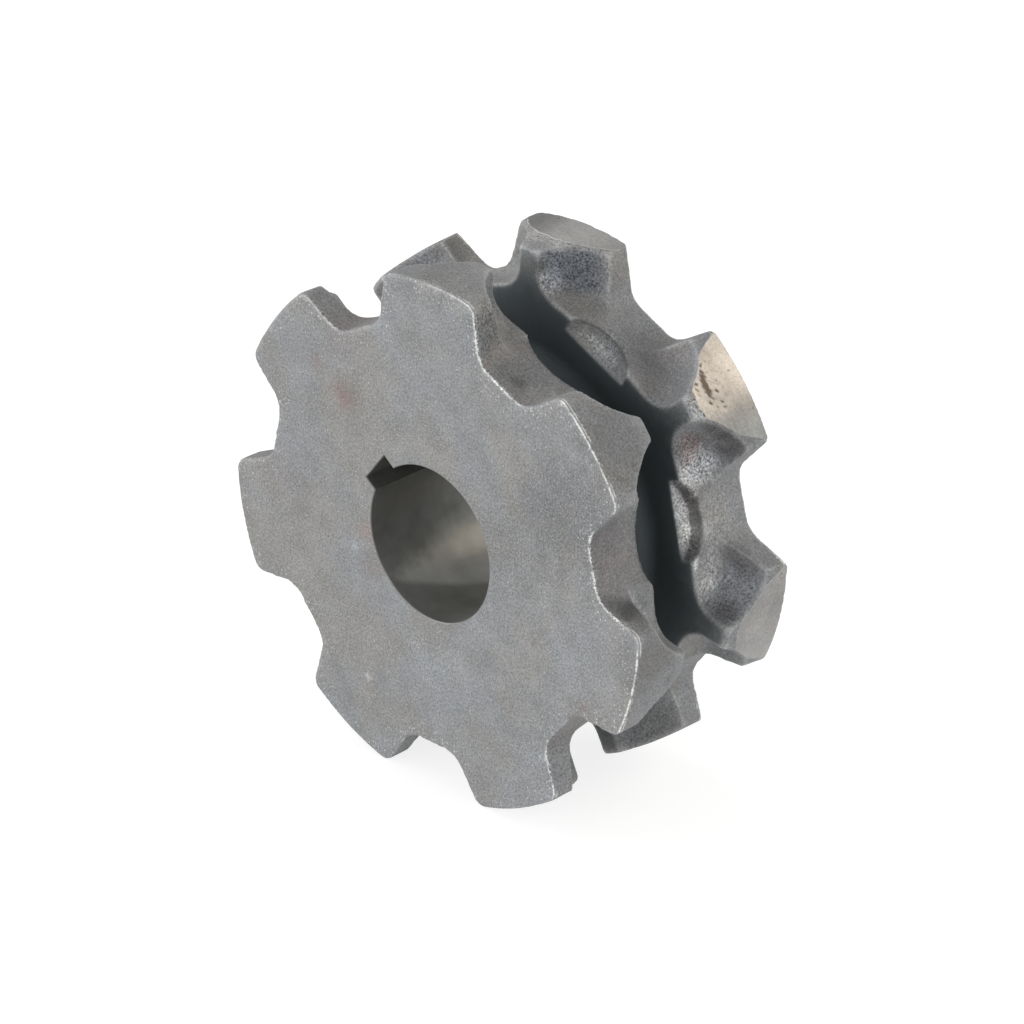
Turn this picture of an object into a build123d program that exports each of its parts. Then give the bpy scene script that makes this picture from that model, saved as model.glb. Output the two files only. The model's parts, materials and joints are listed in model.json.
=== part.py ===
from build123d import *
from math import cos, radians, sin, sqrt, tan
import os

# Pocket wheel for round link chain, cast in one piece.
# Frame: origin at the middle of the bore, bore axis along Y, one tooth straight up (+Z).
# The front face is the -Y face.

# Chain that the wheel carries
CHAIN_BAR = 10.0             # diameter of the round bar
CHAIN_PITCH = 28.0           # inside length of one link
CHAIN_WIDTH = 36.0           # outside width of one link

# Wheel
POCKETS = 7
FACE_WIDTH = 53.0
FACE_EDGE_BREAK = 0.6        # chamfer that breaks the edges of both faces

# Bore
BORE_DIAMETER = 40.0
KEYWAY_WIDTH = 10.0
KEYWAY_DEPTH = 3.3
KEYWAY_TOOTH = 1             # tooth under which the keyway is cut, counted from the top one

# Teeth, as the outer faces show them
TOOTH_HEIGHT = 13.3          # tips above the pocket floor
TOOTH_TIP_WIDTH = 29.5
TOOTH_FLANK_DRAFT = 8.2      # degrees
TOOTH_TIP_RADIUS = 3.5
VALLEY_ROOT_RADIUS = 6.5

# Link seats
FLOOR_CLEARANCE = 0.5        # pocket floor below the lying link
SEAT_CLEARANCE = 1.0         # seat round the end of the lying link
SEAT_DRAFT = 18.0            # degrees
SEAT_TILT = 7.0              # degrees that each seat drops towards its tooth

# Relief in the middle of each pocket
RELIEF_REACH = 4.0           # beyond each wall of the groove
RELIEF_LENGTH = 30.0
RELIEF_EDGE_DEPTH = 3.6      # below the floor, at its curved wall
RELIEF_SLOPE = 18.0          # degrees that its bottom falls towards the groove

# Groove for the standing links
GROOVE_SIDE_CLEARANCE = 1.9  # on each side of the bar
GROOVE_HUB_CLEARANCE = 4.5   # below the standing link
GROOVE_ROOT_RADIUS = 4.0
GROOVE_DRAFT = 1.0           # degrees
FRONT_LIP_RADIUS = 1.5       # rounding of the front tooth noses
REAR_LIP_RADIUS = 3.0        # the same on the rear teeth

# Rear tooth tips
REAR_TURNED_DEPTH = 0.9      # taken off the rear tips by turning
REAR_TIP_RADIUS = 1.5        # rounding from the turned lands into the seats

# Angles and radii that follow from the sizes above
step_angle = 360 / POCKETS
half_step = step_angle / 2
quarter_link = 90 / POCKETS
pitch_radius = 0.5 * sqrt(
    (CHAIN_PITCH / sin(radians(quarter_link))) ** 2 + (CHAIN_BAR / cos(radians(quarter_link))) ** 2
)
lying_height = sqrt(pitch_radius**2 - ((CHAIN_PITCH + CHAIN_BAR) / 2) ** 2)
standing_height = sqrt(pitch_radius**2 - ((CHAIN_PITCH - CHAIN_BAR) / 2) ** 2)
floor_height = lying_height - CHAIN_BAR / 2 - FLOOR_CLEARANCE
hub_radius = standing_height - CHAIN_WIDTH / 2 - GROOVE_HUB_CLEARANCE
tip_radius = floor_height + TOOTH_HEIGHT
land_radius = tip_radius - REAR_TURNED_DEPTH
cut_radius = tip_radius + CHAIN_BAR
half_face = FACE_WIDTH / 2

# The valley's wall starts at the tip corner of the tooth and leans by half a step plus the draft
corner_x = TOOTH_TIP_WIDTH / 2
corner_z = sqrt(tip_radius**2 - corner_x**2)
wall_lean = tan(radians(half_step + TOOTH_FLANK_DRAFT))
wall_x = corner_z * sin(radians(half_step)) - corner_x * cos(radians(half_step))
wall_z = corner_z * cos(radians(half_step)) + corner_x * sin(radians(half_step))
valley_half_root = wall_x - (wall_z - floor_height) * wall_lean
valley_half_mouth = wall_x + (cut_radius - wall_z) * wall_lean
root_turn = radians(90 - half_step - TOOTH_FLANK_DRAFT)
valley_half_flat = valley_half_root - VALLEY_ROOT_RADIUS * tan(root_turn / 2)

# Link seats: round ends of the lying link, as rings about the centres of its bends
end_centre = (CHAIN_PITCH + 2 * CHAIN_BAR - CHAIN_WIDTH) / 2
ring_radius = (CHAIN_WIDTH - CHAIN_BAR) / 2
seat_radius = CHAIN_BAR / 2 + SEAT_CLEARANCE
seat_lean = radians(SEAT_TILT)
seat_top = cut_radius - floor_height
ring_offset = (end_centre - valley_half_flat) / cos(seat_lean)

# Groove walls, which open outwards by the draft
groove_half = CHAIN_BAR / 2 + GROOVE_SIDE_CLEARANCE
lip_half = groove_half + (tip_radius - floor_height) * tan(radians(GROOVE_DRAFT))
hub_half = groove_half - (floor_height - hub_radius) * tan(radians(GROOVE_DRAFT))
relief_half = groove_half + RELIEF_REACH


def pocket_planes():
    """Planes through the axis whose Z points out through each pocket and whose Y is the bore axis."""
    planes = []
    for number in range(POCKETS):
        turn = radians(90 + half_step + number * step_angle)
        planes.append(Plane(origin=(0, 0, 0), x_dir=(sin(turn), 0, -cos(turn)), z_dir=(cos(turn), 0, sin(turn))))
    return planes


# Room for the two round ends of one lying link: dished seats that drop towards the teeth
with BuildPart() as link_seats:
    for side in (1, -1):
        seat_plane = Plane(
            origin=(side * valley_half_flat, 0, floor_height),
            x_dir=(side * cos(seat_lean), 0, -sin(seat_lean)),
            z_dir=(0, -side, 0),
        )
        with BuildSketch(seat_plane):
            with BuildLine():
                base = Line((ring_offset, 0), (ring_offset + ring_radius, 0))
                bend = CenterArc(
                    (ring_offset + ring_radius, seat_radius), seat_radius, -90, 90 - SEAT_DRAFT
                )
                wall = PolarLine(bend @ 1, seat_top / cos(radians(SEAT_DRAFT)), 90 - SEAT_DRAFT)
                Polyline(wall @ 1, (ring_offset, (wall @ 1).Y), base @ 0)
            make_face()
        seat_axis = Axis(seat_plane.from_local_coords((ring_offset, 0, 0)), seat_plane.y_dir)
        revolve(axis=seat_axis)

# Relief across the middle of one pocket: pointed oval in plan, bottom falling to the groove
relief_end = RELIEF_LENGTH / 2
relief_wall_foot = floor_height - RELIEF_EDGE_DEPTH
relief_bottom = relief_wall_foot - relief_half * tan(radians(RELIEF_SLOPE))
relief_top = floor_height + CHAIN_BAR

with BuildPart() as relief:
    with BuildSketch(Plane.XY.offset(relief_top)):
        with BuildLine():
            ThreePointArc((-relief_end, 0), (0, relief_half), (relief_end, 0))
            ThreePointArc((relief_end, 0), (0, -relief_half), (-relief_end, 0))
        make_face()
    extrude(amount=relief_bottom - relief_top)
    with BuildSketch(Plane.YZ):
        with BuildLine():
            Polyline(
                (-relief_half, relief_top),
                (-relief_half, relief_wall_foot),
                (0, relief_bottom),
                (relief_half, relief_wall_foot),
                (relief_half, relief_top),
                close=True,
            )
        make_face()
    extrude(amount=relief_end, both=True, mode=Mode.INTERSECT)

with BuildPart() as sprocket:
    # Toothed blank
    with BuildSketch(Plane.XZ) as outline:
        with PolarLocations(0, 1, start_angle=90 + half_step):
            Circle(tip_radius)
        with PolarLocations(0, POCKETS, start_angle=90 + half_step):
            Polygon(
                (floor_height, -valley_half_root),
                (cut_radius, -valley_half_mouth),
                (cut_radius, valley_half_mouth),
                (floor_height, valley_half_root),
                align=None,
                mode=Mode.SUBTRACT,
            )
        fillet(outline.vertices().group_by(SortBy.DISTANCE)[0], VALLEY_ROOT_RADIUS)
        fillet(outline.vertices().group_by(SortBy.DISTANCE)[-1], TOOTH_TIP_RADIUS)
    extrude(amount=half_face, both=True)
    chamfer(sprocket.faces().filter_by(Axis.Y).edges(), FACE_EDGE_BREAK)

    # Pockets for the lying links
    for plane in pocket_planes():
        add(plane * link_seats.part, mode=Mode.SUBTRACT)

    # Groove for the standing links, rounded out at the tooth noses
    pocket_turn = radians(90 + half_step)
    groove_plane = Plane(
        origin=(0, 0, 0),
        x_dir=(cos(pocket_turn), 0, sin(pocket_turn)),
        z_dir=(-sin(pocket_turn), 0, cos(pocket_turn)),
    )
    with BuildSketch(groove_plane):
        with BuildLine() as groove_line:
            rear_lip = CenterArc(
                (tip_radius - REAR_LIP_RADIUS, lip_half + REAR_LIP_RADIUS), REAR_LIP_RADIUS, -90, 90
            )
            front_lip = CenterArc(
                (tip_radius - FRONT_LIP_RADIUS, -lip_half - FRONT_LIP_RADIUS), FRONT_LIP_RADIUS, 0, 90
            )
            Polyline(
                rear_lip @ 1,
                (cut_radius, (rear_lip @ 1).Y),
                (cut_radius, (front_lip @ 0).Y),
                front_lip @ 0,
            )
            FilletPolyline(
                front_lip @ 1,
                (hub_radius, -hub_half),
                (hub_radius, hub_half),
                rear_lip @ 0,
                radius=GROOVE_ROOT_RADIUS,
            )
        make_face()
    revolve(axis=Axis.Y, mode=Mode.SUBTRACT)

    # Reliefs
    for plane in pocket_planes():
        add(plane * relief.part, mode=Mode.SUBTRACT)

    # Turned lands of the rear teeth, rounded into the seats and noses
    with BuildSketch(Plane.XZ):
        with PolarLocations(0, 1, start_angle=90 + half_step):
            Circle(cut_radius)
            Circle(land_radius, mode=Mode.SUBTRACT)
    extrude(amount=-half_face, mode=Mode.SUBTRACT)
    land_edges = sprocket.faces(Select.LAST).edges()
    fillet(land_edges.filter_by_position(Axis.Y, groove_half, ring_radius + seat_radius), REAR_TIP_RADIUS)

    # Bore and keyway
    with BuildSketch(Plane.XZ):
        Circle(BORE_DIAMETER / 2)
        with PolarLocations(0, 1, start_angle=90 + KEYWAY_TOOTH * step_angle):
            Rectangle(BORE_DIAMETER / 2 + KEYWAY_DEPTH, KEYWAY_WIDTH, align=(Align.MIN, Align.CENTER))
    extrude(amount=half_face, both=True, mode=Mode.SUBTRACT)

os.makedirs("parts", exist_ok=True)
sprocket.part.label = "sprocket"
export_step(sprocket.part, "parts/sprocket.step")
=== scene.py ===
import json
import math

import bmesh
import bpy
import numpy as np
from bpy.props import FloatProperty, FloatVectorProperty, IntProperty, PointerProperty, StringProperty
from mathutils import Matrix, Vector, noise
from mathutils.kdtree import KDTree


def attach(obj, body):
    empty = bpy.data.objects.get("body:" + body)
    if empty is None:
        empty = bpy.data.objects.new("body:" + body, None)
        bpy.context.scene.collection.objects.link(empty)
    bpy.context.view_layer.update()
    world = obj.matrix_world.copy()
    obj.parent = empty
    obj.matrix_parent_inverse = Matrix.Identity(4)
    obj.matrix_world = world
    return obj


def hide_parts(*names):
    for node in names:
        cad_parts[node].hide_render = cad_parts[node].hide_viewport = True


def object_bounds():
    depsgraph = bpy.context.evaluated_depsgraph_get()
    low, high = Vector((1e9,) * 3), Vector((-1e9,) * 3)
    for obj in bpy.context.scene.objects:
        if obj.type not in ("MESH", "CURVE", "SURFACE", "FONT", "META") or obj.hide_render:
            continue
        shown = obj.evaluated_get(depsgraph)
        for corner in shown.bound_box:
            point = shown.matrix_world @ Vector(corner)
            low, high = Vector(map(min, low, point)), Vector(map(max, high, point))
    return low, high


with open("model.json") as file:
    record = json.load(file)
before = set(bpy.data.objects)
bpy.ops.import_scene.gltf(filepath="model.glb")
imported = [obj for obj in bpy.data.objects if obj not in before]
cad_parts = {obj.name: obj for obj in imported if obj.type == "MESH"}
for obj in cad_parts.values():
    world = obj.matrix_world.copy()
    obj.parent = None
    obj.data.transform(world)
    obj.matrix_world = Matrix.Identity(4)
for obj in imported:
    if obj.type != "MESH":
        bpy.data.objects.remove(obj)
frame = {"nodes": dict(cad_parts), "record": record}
cad_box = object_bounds()

bl_info = {
    "name": "Cast pocket wheel",
    "version": (1, 0, 0),
    "blender": (4, 5, 0),
    "location": "View3D > Sidebar > Pocket wheel",
    "description": "Dresses the pocket wheel for round link chain as a blasted iron casting",
    "category": "Object",
}

MM = 0.001
DEGREE = math.radians(1)
NODE = "sprocket"
FRONT, REAR = cad_box[0].y, cad_box[1].y
TIP_RADIUS = cad_box[1].z
BORE = next(mount for mount in frame["record"]["mounts"] if mount["name"] == "bore")
BORE_RADIUS = BORE["dims"]["r_mm"] * MM
TEETH = 7
TOOTH_STEP = math.tau / TEETH

# Half of a tooth's tip, seen from the axis
HALF_TIP = 12.2 * DEGREE

# Where the link seats lie, each as start, full, end and gone: degrees from the tooth's middle, mm
# from the middle plane, mm from the axis
SEAT_ANGLES = (2.5, 4.5, 12.5, 16)
SEAT_DEPTHS = (7.5, 8.5, 17, 19.5)
SEAT_RADII = (56, 58.5, 65.8, 66.8)

# Where the oval reliefs lie in the same way, in mm from the middle plane
RELIEF_DEPTHS = (7.3, 7.8, 12, 13)

# How far the marks along the edges of the two faces reach
EDGE_REACH = 7 * MM

# Step between the points along a face's outline
OUTLINE_STEP = 0.25 * MM

# What the paint work keeps on the skin for its material. edge is the way over the nearest face
# edge and rim the way from the nearest turned land, both in mm; the others run from 0 to about 1,
# and tone is a factor on the colour. The tone also holds painted light and shade, the burnt groove
# also painted shade, and the rubbed edges and the edges that face the light painted highlights
SKIN_VALUES = (
    "edge", "rubbed_and_lit", "burnt_and_shade", "coarse", "grain", "rim", "rust", "tone_and_shade", "facing_light", "tips",
)

# Turned lands by tooth: how far behind the middle plane each starts, in mm, and how much of the
# rest it loses at the sides of the tooth
LANDS = ((15, 0.62), (10, 1), (11, 1), (13, 0.8), (9, 1), (12, 0.9), (11, 1))

# How strongly the rim of each turned land is rubbed before and after its tooth's middle
RIMS = ((0.9, 0.7), (0.7, 0.0), (0.5, 0.2), (0.4, 0.4), (0.5, 0.3), (0.4, 0.5), (0.5, 0.5))

# How far each front tip falls off at the groove, by tooth, in mm
FALLS = (0.5, 0.3, 0.5, 0.0, 0.4, 0.5, 0.3)

# Rounding of the rear tips' corners before and after each tooth, in mm
CORNERS = ((0, 0.8), (0.4, 0), (0, 0.4), (1.0, 0), (1, 0.8), (0.8, 1.2), (0.8, 0.6))

# Painted shade on the relief walls, by the tooth before the pocket
RELIEF_WALL_SHADE = (0.05, -0.62, -0.4, -0.5, -0.3, -0.5, -0.4)

# Larger pores in the turned lands: tooth, degrees from its middle, mm behind the middle plane, size.
# From 2 mm on it is a field of fine chips
PORES = (
    (1, -3.0, 17.0, 4.5), (1, -8.5, 16.5, 4.0),
    (1, -5.7, 15.8, 0.6), (1, -4.7, 15.3, 0.8), (1, -3.7, 14.9, 0.9), (1, -2.6, 14.7, 1.0),
    (1, -1.6, 14.8, 1.0), (1, -0.7, 14.6, 0.6), (1, -3.9, 12.3, 0.4), (1, -2.8, 11.5, 0.3),
    (1, -1.6, 11.4, 0.3), (1, -0.7, 11.4, 0.25), (1, -6.8, 16.7, 0.25), (1, -2.6, 17.6, 0.3),
    (1, -0.9, 17.3, 0.35), (1, 0.3, 16.2, 0.3), (1, 1.3, 17.3, 0.35), (1, 1.0, 13.8, 0.3),
    (1, 2.8, 17.6, 0.4), (1, 0.4, 15.0, 0.25), (1, 1.9, 15.2, 0.25),
    (4, 5.0, 16.0, 0.7), (4, 4.0, 15.2, 0.5), (5, -2.0, 19.0, 0.6), (6, 3.5, 20.0, 0.5),
)

# How coarse the sand print is in the link seats before and after each tooth
COARSE_REAR = ((0.5, 0.85), (0.1, 0.25), (0.5, 0.5), (0.3, 0.5), (0.6, 0.4), (0.5, 0.7), (0.6, 0.4))
COARSE_FRONT = ((0.4, 0.7), (0.3, 0.1), (0.2, 0.4), (0.5, 0.3), (0.4, 0.6), (0.3, 0.5), (0.5, 0.3))

# Patches on the skin: x, y, z and size in mm, then rust, change of shade and coarser grain. Some
# changes of shade are painted light and some painted shade, as the groups below say
PATCHES = (
    # Painted light beside the rear link seats and in the reliefs, with a coarser grain
    (5.2, 9.8, 59.0, 4.5, 0, 0.60, 1.0),
    (50.4, 12.5, 24.0, 7, 0, 0.80, 1.0),
    (55.4, 11.0, -1.0, 6, 0, 0.42, 0.5),
    (56.3, 10.0, -5.5, 4, 0, 0.42, 0.5),
    (61.5, 15.0, -4.8, 7, 0, 0.30, 0.5),
    (48.9, 9.2, 20.0, 5, 0, 0.55, 0.7),
    (48.9, 9.2, 13.3, 6, 0, 0.60, 0.7),
    (48.5, 9.2, 6.5, 5, 0, 0.55, 0.7),
    (52.6, 9.5, 41.0, 4, 0, 0.35, 1.0),
    (53.5, 15.6, 11.4, 10, 0, 0.22, 0.2),
    (21.5, 7.6, 45.0, 7, 0, 0.08, 0),
    (24.0, 10.7, 48.0, 5, 0, 0.0, 0.7),
    (16.1, 9.4, 49.0, 1.8, 0, 0.40, 0.6),
    (18.2, 10.3, 47.8, 2.0, 0, 0.45, 0.6),
    (20.8, 10.4, 46.5, 2.0, 0, 0.45, 0.6),
    (23.2, 10.2, 45.3, 2.0, 0, 0.40, 0.6),
    (25.5, 9.8, 44.1, 2.0, 0, 0.30, 0.6),
    (52.3, 10.6, 8.5, 4.5, 0, 0.45, 0),
    (52.6, 9.0, 4.5, 2.5, 0, 0.15, 0.9),
    (-3.0, 14.2, 66.9, 5, 0, 0.35, 0.5),
    (3.5, 14.4, 66.9, 4, 0, 0.35, 0.5),
    # Painted shade low in the rear link seats, with a trace of rust
    (57.5, 17.0, 29.0, 7, 0.1, -0.48, 0),
    (56.0, 13.0, 34.0, 6, 0.1, -0.38, 0),
    (58.5, 17.0, 2.0, 4.5, 0.1, -0.35, 0),
    (62.2, 17.9, -0.5, 4, 0.1, -0.30, 0),
    (3.6, 8.0, 62.5, 3.0, 0, -0.30, 0),
    (50.8, 9.8, 17.5, 4.5, 0, -0.35, 0),
    (62.5, 10.5, -9.0, 4.5, 0.1, -0.25, 0),
    (10.0, 15.0, 62.0, 8, 0, -0.12, 0.7),
    # Brown stains
    (37.0, 16.0, 44.0, 11, 0.12, 0, 0),
    (49.2, 11.0, 29.5, 6, 0.5, -0.10, 0.8),
    (-28.1, -26.5, 30.2, 5.5, 0.75, -0.03, 0),
    (-38.0, -26.5, 36.0, 4, 0.3, 0.0, 0),
    (-22.0, -26.5, -3.9, 4, 0.3, 0.0, 0),
    (-20.0, -26.5, -13.0, 5, 0.3, 0.0, 0),
    (50.7, -26.5, -24.9, 2.2, 0.6, 0.0, 0.3),
    (-30.0, -26.5, 44.0, 7, 0.15, -0.03, 0),
    (-50.0, -26.5, 0.0, 12, 0.10, -0.03, 0),
    # Lighter and darker areas of the front face
    (-1.0, -26.5, -32.0, 9, 0, 0.07, 0.1),
    (10.2, -26.5, -30.0, 7, 0, 0.05, 0),
    (44.0, -26.5, -45.0, 18, 0, 0.06, 0.2),
    (46.0, -26.5, 24.0, 20, 0, -0.22, 0.2),
    (27.0, -26.5, 10.0, 22, 0, -0.10, 0.1),
    (57.5, -26.5, -6.4, 1.0, 0, -0.35, 0),
    # Marks of knocks, bare and bright
    (-25.9, -26.5, -9.9, 0.6, 0, 2.2, 0),
    (-21.8, -26.5, -44.9, 0.7, 0, 1.8, 0),
    (27.6, -26.5, -24.2, 0.6, 0, 2.0, 0),
    (45.3, -26.5, 3.0, 0.5, 0, 2.0, 0),
    # Painted shade on floors and lands
    (53.1, -17.4, 42.4, 14, 0, -0.24, 0),
    (67.0, -19.0, -7.0, 13, 0, -0.24, 0),
    (29.0, 16.0, 47.0, 10, 0, -0.27, 0),
    (34.7, 14.6, -53.7, 10, 0, -0.30, 0),
    (-3.0, -20.0, 67.8, 12, 0, -0.10, 0),
    # Painted shade on the front flange's flanks, most with less rust; two places are lighter
    (58.5, -23.0, 3.0, 5, -0.15, -0.34, 0),
    (61.5, -21.0, 2.0, 5, -0.15, -0.34, 0),
    (59.2, -18.0, 2.0, 4, -0.15, -0.25, 0),
    (58.5, -13.5, 1.8, 3.5, -0.1, -0.25, 0),
    (56.2, -25.2, 4.6, 3, -0.1, -0.2, 0),
    (15.8, -22.0, 60.0, 7, 0.05, -0.28, 0.8),
    (22.0, -19.0, 50.0, 11, -0.12, -0.12, 0.1),
    (24.8, -21.2, 48.7, 3.0, 0, -0.35, 0),
    (30.0, -19.5, 47.0, 6, -0.1, 0.22, 0),
    (13.0, -17.0, 60.0, 4, 0, 0.25, 1.0),
    (-38.5, 20.5, 50.5, 7, 0, -0.26, 0),
    (-43.0, 18.5, 49.5, 5.5, 0, -0.12, 0.5),
    # Rubbed ridge between a flank and its seat
    (56.0, -16.5, 3.9, 1.5, 0, 0.35, 0.2),
    (55.8, -14.5, 1.2, 1.5, 0, 0.35, 0.2),
    (55.6, -12.5, -1.5, 1.5, 0, 0.35, 0.2),
    (55.9, -10.8, -3.7, 1.5, 0, 0.30, 0.2),
    (54.7, 8.0, 3.0, 1.5, 0, 0.8, 0),
    (54.5, 7.5, 1.7, 1.5, 0, 0.8, 0),
    (54.3, 7.2, 0.4, 1.5, 0, 0.6, 0),
)


# Sizes and colours that a user would change


class CastingSettings(bpy.types.PropertyGroup):
    mesh_size: FloatProperty(
        name="Mesh size", description="Edge length of the mesh while the skin is shaped",
        default=0.5 * MM, unit="LENGTH",
    )
    triangles: IntProperty(
        name="Triangles", description="Triangles left on the cast skin in the end", default=165000,
    )
    edge_passes: IntProperty(
        name="Edge passes", description="Smoothing passes that round the cast edges", default=1,
    )
    edge_break: FloatProperty(
        name="Edge break", description="Width of the worn band round both faces",
        default=0.6 * MM, unit="LENGTH",
    )
    swell_depth: FloatProperty(
        name="Swell depth", description="How uneven the sand mould left the skin",
        default=0.22 * MM, unit="LENGTH",
    )
    swell_length: FloatProperty(
        name="Swell length", description="Width of one swell", default=13 * MM, unit="LENGTH",
    )
    pit_depth: FloatProperty(
        name="Pit depth", description="Depth of the small pits", default=0.10 * MM, unit="LENGTH",
    )
    pit_length: FloatProperty(
        name="Pit length", description="Width of one small pit", default=2.6 * MM, unit="LENGTH",
    )
    coarse_depth: FloatProperty(
        name="Coarse depth", description="Depth of the coarse sand print in the link seats",
        default=0.22 * MM, unit="LENGTH",
    )
    coarse_length: FloatProperty(
        name="Coarse length", description="Width of one lump of the coarse sand print",
        default=1.5 * MM, unit="LENGTH",
    )
    seat_depth: FloatProperty(
        name="Seat depth", description="How much deeper the mould left the middle of the link seats",
        default=0.7 * MM, unit="LENGTH",
    )
    flash_height: FloatProperty(
        name="Flash height", description="How far broken flash stands off the face edges in the valleys",
        default=0.3 * MM, unit="LENGTH",
    )
    flash_length: FloatProperty(
        name="Flash length", description="Length of one piece of flash", default=4.5 * MM, unit="LENGTH",
    )


class MachiningSettings(bpy.types.PropertyGroup):
    keyway_width: FloatProperty(
        name="Keyway width", description="Width of the key that fits", default=10 * MM, unit="LENGTH",
    )
    keyway_depth: FloatProperty(
        name="Keyway depth", description="Keyway floor above the bore wall",
        default=3.3 * MM, unit="LENGTH",
    )
    keyway_tooth: IntProperty(
        name="Keyway tooth", description="Tooth over the keyway, counted clockwise from the top one",
        default=6,
    )
    mouth_break: FloatProperty(
        name="Mouth break", description="Chamfer at both mouths of the bore",
        default=0.25 * MM, unit="LENGTH",
    )
    turned_depth: FloatProperty(
        name="Turned depth", description="Taken off the rear tips by turning",
        default=0.9 * MM, unit="LENGTH",
    )
    bore_sides: IntProperty(
        name="Bore sides", description="Flat sides that make up the round bore", default=160,
    )
    cut_mesh: FloatProperty(
        name="Cut mesh", description="Edge length of the mesh on the turned tips",
        default=0.7 * MM, unit="LENGTH",
    )


class IronSettings(bpy.types.PropertyGroup):
    skin: StringProperty(name="Skin", description="Blasted iron", default="#888A8C")
    skin_warm: StringProperty(name="Warm skin", description="Blasted iron with a trace of rust",
                              default="#8A8987")
    rust: StringProperty(name="Rust", description="Thin rust left on the skin", default="#83665F")
    coarse: StringProperty(name="Coarse skin", description="Coarse sand print in the link seats",
                           default="#777B82")
    # The groove is drawn this dark partly for burnt sand and partly as painted shade between the flanges
    burnt_and_shade: StringProperty(name="Burnt skin", description="Burnt sand in the groove", default="#4F5659")
    # Drawn near white, so that the bare edges also carry painted highlights
    wear_and_sheen: StringProperty(name="Worn edge", description="Bare metal on rubbed edges", default="#EEEEEC")
    bored: StringProperty(name="Bored iron", description="Wall of the bore", default="#7C7C79")
    turned: StringProperty(name="Turned iron", description="Lands of the rear tips", default="#969492")
    pore: StringProperty(name="Pore", description="Dirt in the casting pores", default="#6F6150")


class StageSettings(bpy.types.PropertyGroup):
    azimuth: FloatProperty(
        name="Azimuth", description="Camera's turn about the vertical",
        default=44.14 * DEGREE, subtype="ANGLE",
    )
    elevation: FloatProperty(
        name="Elevation", description="Camera's height angle",
        default=26.68 * DEGREE, subtype="ANGLE",
    )
    distance: FloatProperty(
        name="Distance", description="Camera to the middle of the bore",
        default=1111.5 * MM, unit="LENGTH",
    )
    aside: FloatProperty(
        name="Aside", description="Bore's middle right of the frame's middle",
        default=-1.32 * MM, unit="LENGTH",
    )
    above: FloatProperty(
        name="Above", description="Bore's middle above the frame's middle",
        default=0.80 * MM, unit="LENGTH",
    )
    lens: FloatProperty(name="Lens", description="Focal length in mm on a 36 mm sensor", default=161.3,
                        unit="CAMERA")
    floor: StringProperty(name="Floor", description="Colour of the floor", default="#F2F2F2")
    daylight: FloatVectorProperty(
        name="Daylight", description="Colour of the light all round", subtype="COLOR",
        default=(0.96, 0.98, 1.0),
    )


# Tools for materials and meshes


def linear(hex_colour):
    """sRGB hex to the linear RGBA that a shader takes."""
    values = [int(hex_colour[i:i + 2], 16) / 255 for i in (1, 3, 5)]
    return (*[v / 12.92 if v <= 0.04045 else ((v + 0.055) / 1.055) ** 2.4 for v in values], 1.0)


def add_node(tree, kind, inputs=(), **settings):
    """Adds a node. Inputs are pairs of a name or number and the value, socket or node that feeds
    it, and a node gives its first output. Settings name properties of the node, or inputs with _
    for a space."""
    node = tree.nodes.new("ShaderNode" + kind)
    for name, value in settings.items():
        if hasattr(node, name):
            setattr(node, name, value)
        else:
            node.inputs[name.replace("_", " ")].default_value = value
    for name, source in inputs:
        if isinstance(source, bpy.types.Node):
            source = source.outputs[0]
        if isinstance(source, bpy.types.NodeSocket):
            tree.links.new(source, node.inputs[name])
        else:
            node.inputs[name].default_value = source
    return node


def features(size):
    """Texture scale that gives features of that size, in metres."""
    return 1 / size


def new_material(name):
    """An empty material and its node tree."""
    material = bpy.data.materials.new(name)
    material.use_nodes = True
    material.node_tree.nodes.clear()
    return material, material.node_tree


def ease(values, low, high):
    """0 below low and 1 above high, with a soft rise between them."""
    part = np.clip((values - low) / (high - low), 0, 1)
    return part * part * (3 - 2 * part)


def band(values, unit, start, full, end, gone):
    """1 from full to end and 0 outside start and gone, soft between; the limits are in that unit."""
    return ease(values, start * unit, full * unit) * (1 - ease(values, end * unit, gone * unit))


def apply_modifiers(piece):
    """Applies the piece's modifiers to its mesh."""
    depsgraph = bpy.context.evaluated_depsgraph_get()
    mesh = bpy.data.meshes.new_from_object(piece.evaluated_get(depsgraph))
    piece.modifiers.clear()
    old = piece.data
    piece.data = mesh
    bpy.data.meshes.remove(old)


def object_from(bm, name, materials=()):
    """Turns a bmesh into an object in the scene."""
    mesh = bpy.data.meshes.new(name)
    bm.to_mesh(mesh)
    bm.free()
    for material in materials:
        mesh.materials.append(material)
    made = bpy.data.objects.new(name, mesh)
    bpy.context.scene.collection.objects.link(made)
    return made


def subtract(piece, cutter):
    """Cuts with an exact boolean; the new faces take the cutter's material."""
    cut = piece.modifiers.new("cut", "BOOLEAN")
    cut.operation = "DIFFERENCE"
    cut.solver = "EXACT"
    cut.material_mode = "TRANSFER"
    cut.object = cutter
    apply_modifiers(piece)
    old = cutter.data
    bpy.data.objects.remove(cutter)
    bpy.data.meshes.remove(old)


def vertex_places(mesh):
    """Place of each vertex, one row each."""
    values = np.empty(len(mesh.vertices) * 3)
    mesh.vertices.foreach_get("co", values)
    return values.reshape(-1, 3)


def vertex_normals(mesh):
    """Normal of each vertex, one row each."""
    values = np.empty(len(mesh.vertices) * 3)
    mesh.vertex_normals.foreach_get("vector", values)
    return values.reshape(-1, 3)


def move_vertices(mesh, places):
    """Puts each vertex at its new place."""
    mesh.vertices.foreach_set("co", places.ravel())
    mesh.update()


def store(mesh, name, values):
    """Keeps one value a vertex, for the materials."""
    layer = mesh.attributes.new(name, "FLOAT", "POINT")
    layer.data.foreach_set("value", values.astype(np.float32))


def search_tree(places):
    """A tree that finds the places near a point."""
    tree = KDTree(len(places))
    for index, place in enumerate(places):
        tree.insert(place, index)
    tree.balance()
    return tree


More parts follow.
